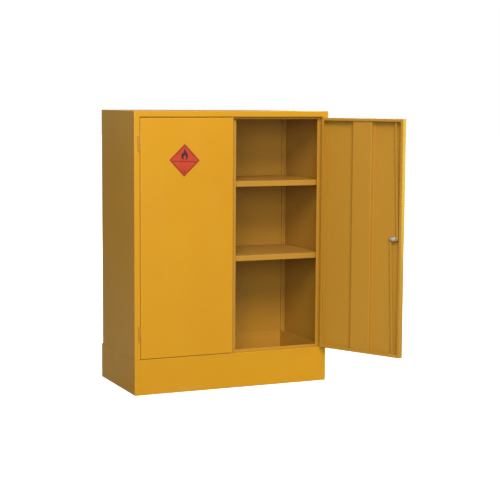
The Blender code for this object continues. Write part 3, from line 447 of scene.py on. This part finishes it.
def plated_metal(name, tones, roughness, crystals, stretch, metallic):
    """Plated steel or casting: metal with crystals or drawn lines and a slight tint from place to place."""
    finish = Finish(name)
    colour, second_colour = tones
    lines = finish.effect("fine_scratches", Stretch=stretch, Amount=1.0)
    cells = finish.effect("plating_crystals", Crystal_Size=0.0016, Amount=crystals)
    marks = finish.effect("handling_marks", Smear_Size=0.018, Amount=1.0)
    wear = finish.effect("edge_wear", Reach=0.0006, Amount=0.6, Patch_Size=0.008)
    clouds = finish.noise(finish.place, scale=95.0, detail=3.0, roughness=0.6)
    tint = finish.span(clouds, low=0.35, high=0.65)
    base = finish.mix(tint, colour, second_colour)
    tone = finish.effect("tone_drift", Colour=base, Drift_Size=0.012, Drift=0.18, Speckle=0.06)
    celled = finish.mix(cells["Mask"], tone["Colour"], second_colour)
    bright = finish.mix(wear["Mask"], celled, RUBBED_METAL)
    rough = finish.roughened(roughness, (marks["Mask"], 0.14), (lines["Mask"], 0.10))
    rounded = finish.add("Bevel", {"Radius": 0.0003}, samples=4).outputs[0]
    normal = finish.bump(lines["Height"], distance=0.000012, strength=0.8, normal=rounded)
    return finish.surface(Base_Color=bright, Roughness=rough, Normal=normal, Metallic=metallic)


def moulded_nylon(name):
    """Unpainted nylon with the fine grain of its mould."""
    finish = Finish(name)
    tone = finish.effect("tone_drift", Colour=NYLON, Drift_Size=0.02, Drift=0.10, Speckle=0.04)
    grain = finish.effect("orange_peel", Ripple_Size=0.0009, Grain=0.5)
    marks = finish.effect("handling_marks", Smear_Size=0.012, Amount=1.0)
    rough = finish.roughened(0.42, (marks["Mask"], 0.15))
    normal = finish.bump(grain["Height"], distance=0.00003, strength=0.6)
    return finish.surface(Base_Color=tone["Colour"], Roughness=rough, Normal=normal, Metallic=0.0)


def printed_film(name, colour, roughness, drift):
    """Printed self-adhesive film: even ink with faint mottle under a thin gloss layer."""
    finish = Finish(name)
    tone = finish.effect("tone_drift", Colour=colour, Drift_Size=0.025, Drift=drift, Speckle=0.10)
    marks = finish.effect("handling_marks", Smear_Size=0.030, Amount=1.0)
    film = finish.effect("orange_peel", Ripple_Size=0.0060, Grain=0.10)
    rough = finish.roughened(roughness, (marks["Mask"], 0.12))
    normal = finish.bump(film["Height"], distance=0.00005, strength=0.5)
    return finish.surface(
        Base_Color=tone["Colour"], Roughness=rough, Normal=normal, Metallic=0.0, Coat_Weight=0.25,
        Coat_Roughness=0.10,
    )


FINISHES = {
    "powder_coat_yellow": powder_coat("powder_coat_yellow_sheet", YELLOW, roughness=0.36, dust=0.07),
    # The sheet that the part lists as inside gets the darker yellow throughout as painted shade
    "powder_coat_yellow_inside": powder_coat(
        "powder_coat_painted_shade_sheet", YELLOW_PAINTED_SHADE, roughness=0.42, dust=0.08,
    ),
    "zinc_plated_steel": plated_metal(
        "bright_zinc_plating", ZINC,
        roughness=0.28, crystals=0.5, stretch=(700.0, 700.0, 60.0), metallic=0.70,
    ),
    "yellow_passivated_steel": plated_metal(
        "yellow_passivated_zinc", YELLOW_PASSIVATE,
        roughness=0.44, crystals=0.35, stretch=(60.0, 60.0, 800.0), metallic=0.60,
    ),
    "satin_nickel_casting": plated_metal(
        "satin_nickel", SATIN_NICKEL,
        roughness=0.24, crystals=0.05, stretch=(500.0, 500.0, 500.0), metallic=0.95,
    ),
    "white_nylon": moulded_nylon("natural_nylon"),
    "label_red": printed_film("label_red_film", LABEL_RED, roughness=0.34, drift=0.10),
}
INK = {
    "border": printed_film("label_border_ink", INK_BORDER, roughness=0.36, drift=0.10),
    "rule": printed_film("label_rule_ink", INK_RULE, roughness=0.36, drift=0.10),
    "flame": printed_film("label_flame_ink", INK_FLAME, roughness=0.38, drift=0.20),
}


def finish_packed_pieces():
    """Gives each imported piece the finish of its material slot."""
    for entry in frame["record"]["subparts"]:
        item = frame["nodes"][entry["node"]]
        material = FINISHES[entry["material_slot"]]
        item.data.materials.clear()
        item.data.materials.append(material)


# ---------------------------------------------------------------- label print


def smooth_loop(points, steps=6):
    """Closed smooth line through the points."""
    loop = []
    count = len(points)
    for k in range(count):
        p0, p1, p2, p3 = (Vector(points[(k + n - 1) % count]) for n in range(4))
        for step in range(steps):
            t = step / steps
            loop.append(0.5 * (
                2 * p1 + (p2 - p0) * t + (2 * p0 - 5 * p1 + 4 * p2 - p3) * t * t
                + (3 * p1 - p0 - 3 * p2 + p3) * t * t * t
            ))
    return loop


def print_layer(name, centre, loops, ink):
    """Thin printed layer on the label, from an outline and any opening in it."""
    bm = bmesh.new()
    edges = []
    for loop in loops:
        verts = [bm.verts.new((x, 0.0, z)) for x, z in loop]
        edges += [bm.edges.new((verts[k], verts[(k + 1) % len(verts)])) for k in range(len(verts))]
    bmesh.ops.triangle_fill(bm, edges=edges, use_beauty=True, use_dissolve=False)
    grown = bmesh.ops.extrude_face_region(bm, geom=list(bm.faces))
    moved = [part for part in grown["geom"] if isinstance(part, bmesh.types.BMVert)]
    bmesh.ops.translate(bm, verts=moved, vec=(0.0, -PRINT_THICKNESS, 0.0))
    bmesh.ops.recalc_face_normals(bm, faces=bm.faces)
    turn = Matrix.Rotation(LABEL_TURN, 3, "Y")
    bmesh.ops.rotate(bm, verts=bm.verts, cent=(0.0, 0.0, 0.0), matrix=turn)
    bmesh.ops.translate(bm, verts=bm.verts, vec=(centre.x, centre.y - PRINT_LIFT, centre.z))
    mesh = bpy.data.meshes.new(name)
    bm.to_mesh(mesh)
    bm.free()
    mesh.materials.append(ink)
    item = bpy.data.objects.new(name, mesh)
    bpy.context.scene.collection.objects.link(item)
    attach(item, "left_door")


def diamond(reach):
    """Corners of a square that stands on one corner, from its middle."""
    return ((reach, 0.0), (0.0, reach), (-reach, 0.0), (0.0, -reach))


def oval(middle, radii, sides):
    """Upright oval round a point on the label's middle line."""
    angles = [2 * math.pi * k / sides for k in range(sides)]
    return [(radii[0] * math.cos(a), middle + radii[1] * math.sin(a)) for a in angles]


def print_label():
    """Border, flame, rule and base mark of a plain flammable-contents diamond."""
    low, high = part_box("hazard_label")
    centre = Vector(((low.x + high.x) / 2, low.y, (low.z + high.z) / 2))
    reach = (high.x - low.x) / 2
    border = (diamond(reach * BORDER_OUTER), diamond(reach * BORDER_INNER))
    mark = oval(MARK_MIDDLE, MARK_RADII, MARK_SIDES)
    print_layer("label_border", centre, border, INK["border"])
    print_layer("label_flame", centre, (smooth_loop(FLAME),), INK["flame"])
    print_layer("label_bar", centre, (RULE,), INK["rule"])
    print_layer("label_base_mark", centre, (mark,), INK["rule"])


# ---------------------------------------------------------------- studio


def area_light(name, place, target, size, power, colour):
    """Soft rectangular light that faces its target."""
    light = bpy.data.lights.new(name, "AREA")
    light.shape = "RECTANGLE"
    light.size, light.size_y = size
    light.energy = power
    light.color = colour
    item = bpy.data.objects.new(name, light)
    item.location = place
    item.rotation_euler = (Vector(target) - Vector(place)).to_track_quat("-Z", "Y").to_euler()
    bpy.context.scene.collection.objects.link(item)


def floor_disc():
    """Flat disc whose rings are closer together near the cabinet."""
    bm = bmesh.new()
    last = [bm.verts.new((0.0, 0.0, 0.0))]
    for ring in range(1, FLOOR_RINGS + 1):
        radius = FLOOR_RADIUS * (ring / FLOOR_RINGS) ** 2
        angles = [2 * math.pi * k / FLOOR_SIDES for k in range(FLOOR_SIDES)]
        verts = [bm.verts.new((radius * math.cos(a), radius * math.sin(a), 0.0)) for a in angles]
        for k in range(FLOOR_SIDES):
            n = (k + 1) % FLOOR_SIDES
            if len(last) == 1:
                bm.faces.new((last[0], verts[k], verts[n]))
            else:
                bm.faces.new((last[k], verts[k], verts[n], last[n]))
        last = verts
    mesh = bpy.data.meshes.new("studio_floor")
    bm.to_mesh(mesh)
    bm.free()
    return mesh


def floor_paint():
    """Pale matt paint that looks paler to the eye than the light that it throws back onto the cabinet."""
    finish = Finish("studio_floor_paint")
    mottle = finish.noise(finish.place, scale=0.8, detail=3.0)
    distance = finish.add("VectorMath", {0: finish.place}, operation="LENGTH").outputs["Value"]
    spread = finish.span(distance, FLOOR_NEAR, FLOOR_FAR)
    strength = finish.span(spread, low=0.0, high=1.0, to_low=FLOOR_GLOW)
    pale = finish.span(mottle, low=0.3, high=0.7, to_low=0.88, to_high=0.92)
    matt = finish.add("BsdfDiffuse", {"Color": pale})
    glow = finish.add("Emission", {"Color": WHITE, "Strength": strength})
    seen = finish.add("AddShader", {0: matt.outputs[0], 1: glow.outputs[0]})
    thrown = finish.add("BsdfDiffuse", {"Color": FLOOR_BOUNCE})
    finish.split_by_eye("OutputMaterial", thrown, seen)
    return finish.material


def pale_floor():
    """Wide floor under the cabinet, left out of the part itself."""
    mesh = floor_disc()
    mesh.materials.append(floor_paint())
    floor = bpy.data.objects.new("studio_floor", mesh)
    bpy.context.scene.collection.objects.link(floor)


def studio_air():
    """Even surroundings: white to look at, and a soft cool grey as the light that they give."""
    world = bpy.data.worlds.new("studio")
    world.use_nodes = True
    wiring = Wiring(world.node_tree)
    seen = wiring.add("Background", {"Color": WHITE, "Strength": 1.0})
    fill = wiring.add("Background", {"Color": AIR_COLOUR, "Strength": AIR_FILL})
    wiring.split_by_eye("OutputWorld", fill, seen)
    bpy.context.scene.world = world


def studio_camera():
    """Camera from its place, its yaw to the right, its pitch down and its roll."""
    data = bpy.data.cameras.new("studio_camera")
    data.sensor_width = CAMERA_SENSOR
    data.lens = CAMERA_LENS
    data.clip_end = CAMERA_REACH
    camera = bpy.data.objects.new("studio_camera", data)
    turn = Matrix.Rotation(-CAMERA_YAW, 4, "Z")
    tilt = Matrix.Rotation(math.pi / 2 - CAMERA_PITCH, 4, "X")
    roll = Matrix.Rotation(CAMERA_ROLL, 4, "Z")
    camera.matrix_world = Matrix.Translation(CAMERA_PLACE) @ turn @ tilt @ roll
    bpy.context.scene.collection.objects.link(camera)
    bpy.context.scene.camera = camera


finish_packed_pieces()
print_label()
pale_floor()
studio_air()
for soft_light in SOFT_LIGHTS:
    area_light(*soft_light)
studio_camera()
bpy.context.scene.view_settings.view_transform = "Standard"
